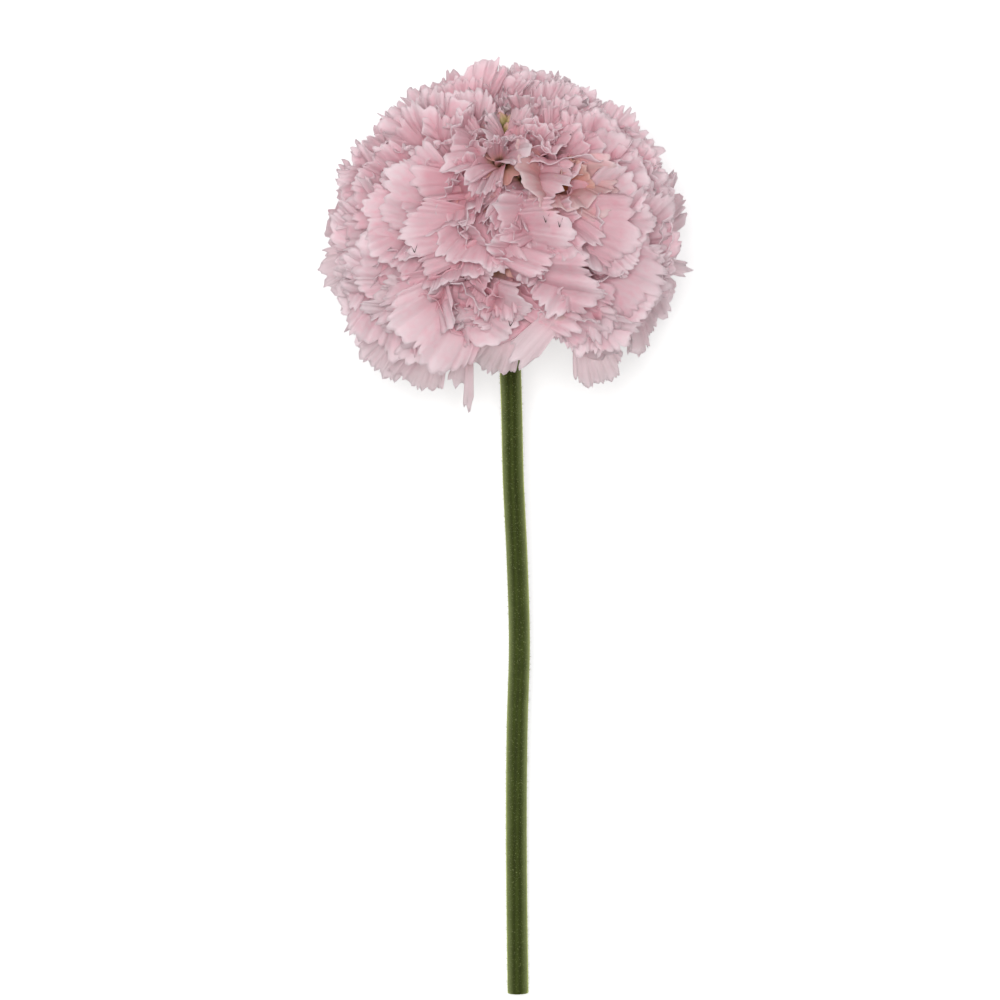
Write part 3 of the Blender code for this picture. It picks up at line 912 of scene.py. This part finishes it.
def drop(sideways, along):
    """The point of the petals' upper side at a place, in mm from the head's middle."""
    above = (HEAD[0] + sideways * MM, HEAD[1] + along * MM, DROP_HEIGHT)
    return np.array(petal_surface.ray_cast(above, (0, 0, -1))[0])


laid_bases, laid_tips = [], []
for sideways, along in SPECKS:
    for prong in (-1, 1):
        laid_bases.append(drop(sideways, along) + [0, 0, 0.05 * MM])
        end = drop(sideways + prong * rng.uniform(0.4, 0.8), along + rng.uniform(1.2, 2.0))
        laid_tips.append(end + [0, 0, rng.uniform(0.2, 0.7) * MM])
skin = Skin()
skin.add_spikes(bases, tips, BRISTLE_RADIUS)
skin.add_spikes(np.array(laid_bases), np.array(laid_tips), SPECK_RADIUS)
bristle_dark = bare_finish("bristle_dark", srgb(66, 56, 50))
keep(skin.build("calyx_bristles", bristle_dark), "petals", "florets")

# %% Styles
STYLE_PROFILE = np.array(  # share of the length, and the radius there in mm
    [(0, 0.10), (0.3, 0.10), (0.6, 0.10), (0.84, 0.11), (0.88, 0.26), (0.94, 0.32), (1.0, 0.16)]
)
skin = Skin()
for plan in plans:
    if plan.facing < 0.45 and rng.random() < 0.6:
        continue
    start = (0.58 + (0.06 if plan.open else 0)) * float(petal_reach(plan.polar)) - 2 * MM
    length = rng.uniform(4.5, 6.5) * MM
    lean = rng.uniform(-1, 1) * plan.down + rng.uniform(-1, 1) * plan.aside
    share = STYLE_PROFILE[:, 0]
    middle = plan.out * (start + share * length)[:, None] + lean * (share**2)[:, None] * MM
    ring = plan.around(full_turn(8)[None, :, None])
    grid = middle[:, None, :] + ring * (STYLE_PROFILE[:, 1] * MM)[:, None, None]
    skin.add(on_table(grid), closed=True, capped=True)
style_pale = bare_finish("style_pale", srgb(240, 216, 206))
keep(skin.build("styles", style_pale), "petals", "florets")

# %% [markdown]
# ## Closed buds
#
# The youngest florets, in the middle of the crown, are still closed: small ovals, yellow-green
# and flushed with pink where the folded lobes meet at the tip. Each is one turned shape whose
# ring is pulled into five soft ribs, one for each lobe inside.

# %% Buds
BUDS = 19
BUD_DOME_RADIUS = 3.9 * MM
BUD_DOME_HEIGHT = 4.2 * MM
BUD_BASE = 17.2 * MM
BUD_RADIUS = 1.15 * MM
BUD_LENGTH = 3.3 * MM
BUD_RIBS = 5


def bud_finish():
    finish, wire, shader = new_finish("bud_green", {"Roughness": 0.5})
    along = attribute(wire, "along")
    ridge = attribute(wire, "ridge")
    patches = noise(wire, 1.2 * MM)
    colour = (along + patches * 0.6 - 0.3).clamped().blend(srgb(142, 136, 78), srgb(200, 176, 126))
    colour = (along * 2.4 - 1.5).clamped().blend(colour, srgb(228, 178, 172))
    colour = ((1 - ridge) * 0.45).blend(colour, srgb(116, 106, 58))
    join(wire, shader, colour, noise(wire, 0.3 * MM, 2.0), 0.3)
    return finish


skin = Skin()
for index in range(BUDS):
    lean = math.radians(78) * math.sqrt((index + 0.3) / BUDS)
    turned = index * GOLDEN_ANGLE
    out = direction(lean, turned)
    down = direction(lean + math.pi / 2, turned)
    aside = np.cross(out, down)
    middle = np.array([out[0] * BUD_DOME_RADIUS, out[1] * BUD_DOME_RADIUS, 0])
    middle[2] = BUD_BASE + 0.6 * MM + BUD_DOME_HEIGHT * out[2]
    size = rng.uniform(0.85, 1.1)
    share = np.linspace(0, 1, 13)[:, None]
    turn = full_turn(25)[None, :]
    ribs = 0.5 + 0.5 * np.cos(BUD_RIBS * turn + rng.uniform(0, 6))
    radius = BUD_RADIUS * size * np.sin(np.pi * (0.04 + 0.92 * share)) ** 0.75
    radius = radius * (1 - 0.16 * (1 - ribs) * smoothstep(0.25, 0.9, share))
    rise = (share - 0.5) * BUD_LENGTH * size
    grid = middle + out * (rise + 0 * turn)[..., None]
    grid = grid + down * (radius * np.cos(turn))[..., None]
    grid = grid + aside * (radius * np.sin(turn))[..., None]
    skin.add(on_table(grid), closed=True, capped=True, along=share, ridge=ribs)
keep(skin.build("closed_buds", bud_finish()), "buds", "centre_buds")

# %% [markdown]
# ## Green cup and bracts
#
# Under the head sits the involucre: a shallow green cup with two whorls of narrow, pointed,
# softly hairy bracts. The hanging petals hide it from above, but it shows from behind. The cup
# is a turned shape. A bract is a small sheet, folded a little along its midrib.

# %% Involucre
# Painted light: a paler green laid along the stem's sides, where light wraps round it.
PAINTED_EDGE_LIGHT_GREEN = srgb(112, 122, 78)


def green_finish(name, dark, light, sheen):
    constants = {
        "Roughness": 0.6,
        "Specular IOR Level": 0.25,
        "Specular Tint": (0.8, 0.9, 0.45, 1),
        "Sheen Weight": sheen,
        "Sheen Roughness": 0.4,
        "Sheen Tint": (0.75, 0.85, 0.2, 1),
    }
    finish, wire, shader = new_finish(name, constants)
    ridge = attribute(wire, "ridge")
    along = attribute(wire, "along")
    patches = noise(wire, 3 * MM)
    specks = noise(wire, 0.35 * MM, 2.0)
    colour = (ridge * 0.6 + patches * 0.7 - 0.3).clamped().blend(dark, light)
    # painted light: where flank is set, on the stem's sides, the colour turns paler
    colour = (attribute(wire, "flank") * (0.5 + patches * 0.6)).blend(colour, PAINTED_EDGE_LIGHT_GREEN)
    colour = (along * 0.35 * patches).clamped().blend(colour, srgb(128, 132, 70))
    colour = ((specks - 0.62) * 3).clamped().blend(colour, srgb(150, 160, 104))
    join(wire, shader, colour, specks, 0.4)
    return finish


BRACTS = 12
BRACT_LENGTH = 13.0 * MM
BRACT_START = 3.0 * MM
BRACT_HALF_WIDTH = 1.7 * MM
BRACT_TIP = 0.12 * MM
BRACT_THICKNESS = 0.32 * MM
CUP_TOP = -8.9 * MM
CUP = (  # reach from the axis and height of each ring, mm
    (0.6, -8.9), (4.6, -8.9), (5.4, -9.4), (5.4, -10.4),
    (4.9, -12.0), (3.9, -13.2), (2.95, -14.1), (0.6, -14.2),
)
turn = full_turn(60)[None, :]
ribs = 0.5 + 0.5 * np.cos(BRACTS * turn)
cup_out, cup_rise = (np.array(CUP) * MM).T[..., None]
out = cup_out * (1 + 0.03 * ribs)
grid = np.stack([out * np.cos(turn), out * np.sin(turn), cup_rise + 0 * turn], axis=-1)
cup_skin = Skin()
cup_skin.add(on_table(grid[::-1]), closed=True, capped=True, along=0.0, ridge=ribs, flank=0.0)
bract_skin = Skin()
for index in range(BRACTS):
    inner = index % 2
    turned = 2 * math.pi * index / BRACTS + rng.uniform(-0.05, 0.05)
    length = BRACT_LENGTH * (0.82 if inner else 1.0) * rng.uniform(0.93, 1.02)
    share = np.linspace(0, 1, 15)[:, None]
    side = np.linspace(-1, 1, 9)[None, :]
    belly = 0.62 + 0.75 * np.sin(np.pi * np.minimum(1, 1.1 * share)) ** 0.8
    half = np.maximum(BRACT_HALF_WIDTH * belly * (1 - share**2.6), BRACT_TIP)
    droop = (3.4 + rng.uniform(-0.4, 0.6)) * MM * share**2
    rise = CUP_TOP - (1.7 if inner else 2.9) * MM - droop
    rise = rise + (0.55 * MM * np.abs(side) ** 1.3 - 0.15 * MM) * np.sin(np.pi * share)
    rise = rise + 0.12 * MM * np.sin(7 * share + index)
    out = BRACT_START + length * share + 0 * side
    across = half * side
    aside = out * math.cos(turned) - across * math.sin(turned)
    ahead = out * math.sin(turned) + across * math.cos(turned)
    grid = np.stack([aside, ahead, rise + 0 * side], axis=-1)
    bract_skin.add(on_table(grid), along=share, ridge=1 - np.abs(side) * 0.8, flank=0.0)
bract_green = green_finish("bract_green", srgb(66, 78, 36), srgb(104, 122, 62), 0.25)
keep(cup_skin.build("green_cup", bract_green), "bracts", "involucre")
keep(bract_skin.build("bracts", bract_green, BRACT_THICKNESS), "bracts", "involucre")

# %% [markdown]
# ## Stem
#
# The stem is a bare stalk, about 4 mm thick, dark green, finely ribbed and downy. It leaves the
# cup in a soft bend and comes down to the table at its cut end. A curve with a round bevel would
# be quick, but it can carry no ribs, so a ring is swept along the route of the plain stem. The
# down is thousands of tiny spikes, fine enough to read as a soft edge that catches the light.

# %% Stem route
STEM_RADIUS = 2.05 * MM
STEM_TOP_RADIUS = 2.9 * MM
NECK_LENGTH = 9.0 * MM
STEM_SINK = 0.04 * MM
ROUTE = (  # distance from the head's middle, and how far to the right the stem is there, mm
    (20, 0.35), (33, 0.85), (48, 1.20), (64, 1.95), (80, 2.40),
    (96, 2.00), (114, 1.85), (132, 1.95), (148, 2.15),
)

stem_top = LAID_OVER @ np.array([0, 0, -14.3 * MM])
top_distance = -stem_top[1]
knots = np.array([(top_distance / MM, 0.0), *ROUTE]) * MM
tangents = np.gradient(knots[:, 1], knots[:, 0])


def sideways_at(distance):
    """A smooth curve through the route's knots."""
    slot = np.clip(np.searchsorted(knots[:, 0], distance) - 1, 0, len(knots) - 2)
    span = knots[slot + 1, 0] - knots[slot, 0]
    t = (distance - knots[slot, 0]) / span
    return (
        (2 * t**3 - 3 * t**2 + 1) * knots[slot, 1]
        + (t**3 - 2 * t**2 + t) * span * tangents[slot]
        + (3 * t**2 - 2 * t**3) * knots[slot + 1, 1]
        + (t**3 - t**2) * span * tangents[slot + 1]
    )


def height_at(distance):
    """An even fall to the table, with a steeper neck under the head."""
    run = CUT_END_REACH - top_distance
    rise = stem_top[2] + HEAD_HEIGHT - STEM_RADIUS + STEM_SINK
    pitch = math.tan(HEAD_PITCH)
    slope = (rise - NECK_LENGTH * pitch) / (run - NECK_LENGTH)
    past_neck = NECK_LENGTH * (pitch - slope) * np.exp(-(distance - top_distance) / NECK_LENGTH)
    return STEM_RADIUS - STEM_SINK + slope * (CUT_END_REACH - distance) + past_neck


def stem_line(distance):
    """Points on the stem's middle line."""
    line = np.stack([sideways_at(distance), -distance, height_at(distance)], axis=-1)
    return line + [HEAD[0], HEAD[1], 0]


# %% Stem body
STEM_SIDES = 44
STEM_RIBS = 11
RIB_DEPTH = 0.022  # of the radius
RIB_TWIST = 6.0  # radians for each metre
TAPER_LENGTH = 4.5 * MM
CUT_FACE = ((0.93, 0.0), (0.6, 0.06), (0.35, 0.25), (0.12, 0.3))  # share of the radius, depth in mm
distance = np.linspace(top_distance, CUT_END_REACH, 240)
line = stem_line(distance)
heading = unit(np.gradient(line, axis=0))
aside = unit(np.cross(heading, [0.0, 0.0, 1.0]))
above = np.cross(aside, heading)
taper = np.exp(-(distance - top_distance) / TAPER_LENGTH)
radius = STEM_RADIUS + (STEM_TOP_RADIUS - STEM_RADIUS) * taper
turn = full_turn(STEM_SIDES)
twist = (distance - top_distance)[:, None] * RIB_TWIST
ribs = 0.5 + 0.5 * np.cos(STEM_RIBS * (turn[None, :] + twist))
girth = radius[:, None] * (1 - RIB_DEPTH * (1 - ribs))
rim = np.cos(turn)[:, None] * aside[:, None, :] + np.sin(turn)[:, None] * above[:, None, :]
grid = line[:, None, :] + rim * girth[..., None]
ends = []
for share, back in CUT_FACE:
    ends.append(line[-1] + rim[-1] * radius[-1] * share - heading[-1] * back * MM)
body = np.concatenate([grid, np.array(ends)])
body[..., 2] = np.maximum(body[..., 2], 0.0)  # nothing reaches under the table
along = np.concatenate([0 * distance, [1.0] * len(CUT_FACE)])[:, None]  # 1 on the cut face
ridge = np.concatenate([ribs, np.full((len(CUT_FACE), STEM_SIDES), 0.5)])
# painted light: the share of the paler edge colour, strongest on the stem's left and right sides
flank = np.broadcast_to(smoothstep(0.3, 1.0, np.abs(np.cos(turn))), ridge.shape)
look = dict(along=along[::-1], ridge=ridge[::-1], flank=flank)
stem_skin = Skin()
stem_skin.add(body[::-1], closed=True, capped=True, **look)
stem_green = green_finish("stem_green", srgb(37, 44, 12), srgb(58, 69, 22), 0.85)
keep(stem_skin.build("stem_body", stem_green), "stem", "stem")

# %% Down on the stem
DOWN = 5200
DOWN_RADIUS = 0.022 * MM
DOWN_SHORTEST, DOWN_LONGEST = 0.25 * MM, 0.6 * MM
TABLE_CLEARANCE = 0.7 * MM
picks = np.array([rng.uniform(0, 1) ** 1.1 for _ in range(DOWN)])
rows = (picks * (len(distance) - 2)).astype(int)
turns = np.array([rng.randrange(STEM_SIDES) for _ in range(DOWN)])
slide = np.array([rng.uniform(0, 1) for _ in range(DOWN)])[:, None]
roots = grid[rows, turns] * (1 - slide) + grid[rows + 1, turns] * slide
jitter = np.array([[rng.uniform(-0.35, 0.35) for _ in range(3)] for _ in range(DOWN)])
ways = unit(rim[rows, turns] + jitter - heading[rows] * 0.2)
clear = roots[:, 2] > TABLE_CLEARANCE
roots, ways = roots[clear], ways[clear]
lengths = np.array([rng.uniform(DOWN_SHORTEST, DOWN_LONGEST) for _ in range(len(roots))])
down_skin = Skin()
down_skin.add_spikes(roots - ways * 0.05 * MM, roots + ways * lengths[:, None], DOWN_RADIUS)
down_pale = bare_finish("down_pale", srgb(172, 180, 132), srgb(128, 138, 84), 5 * MM, 0.6)
keep(down_skin.build("stem_down", down_pale), "stem", "stem")

# %% [markdown]
# ## The table, the light and the camera
#
# The flower lies on a white table, and the camera looks straight down on it. One soft lamp above
# the camera leaves hardly a shadow, and an even white sky fills the gaps between the petals.
# Several lamps all round would be as soft, but would flatten the ruffles. The table glows a
# little, so that it shows as plain white.

# %% Table and light
FLOOR_HALF = 0.9
FLOOR_LOOK = {
    "Roughness": 0.9,
    "Base Color": (0.64, 0.64, 0.64, 1),
    "Emission Color": (1, 1, 1, 1),
    "Emission Strength": 0.5,
}
SKY_STRENGTH = 0.45
LAMP_PLACE = (-0.1, 0.1, 1.85)
LAMP_SIZE = 0.6
LAMP_POWER = 23.0

floor_mesh = bpy.data.meshes.new("floor")
corners = [(x * FLOOR_HALF, y * FLOOR_HALF, 0) for x, y in ((-1, -1), (1, -1), (1, 1), (-1, 1))]
floor_mesh.from_pydata(corners, [], [(0, 1, 2, 3)])
floor_mesh.materials.append(new_finish("floor_white", FLOOR_LOOK)[0])
floor = in_scene("floor", floor_mesh)

world = bpy.data.worlds.new("studio")
world.use_nodes = True
sky = world.node_tree.nodes["Background"]
sky.inputs["Color"].default_value = (1, 1, 1, 1)
sky.inputs["Strength"].default_value = SKY_STRENGTH
bpy.context.scene.world = world
bpy.context.scene.view_settings.view_transform = "Standard"

lamp_data = bpy.data.lights.new("key", "AREA")
lamp_data.shape = "DISK"
lamp_data.size = LAMP_SIZE
lamp_data.energy = LAMP_POWER
in_scene("key", lamp_data, LAMP_PLACE).constraints.new("TRACK_TO").target = floor

# %% Camera
CAMERA_DISTANCE = 1.5
PIXEL = 0.1905 * MM  # at the height of the head's middle
IMAGE = 1000
HEAD_PIXEL = (507, 225)
SENSOR = 36
camera_data = bpy.data.cameras.new("camera")
camera_data.sensor_width = SENSOR
camera_data.lens = SENSOR * CAMERA_DISTANCE / (IMAGE * PIXEL)
right = (HEAD_PIXEL[0] - IMAGE / 2) * PIXEL
below = (HEAD_PIXEL[1] - IMAGE / 2) * PIXEL
above_head = (HEAD[0] - right, HEAD[1] + below, HEAD_HEIGHT + CAMERA_DISTANCE)
bpy.context.scene.camera = in_scene("camera", camera_data, above_head)
print("focal length, mm:", round(camera_data.lens))
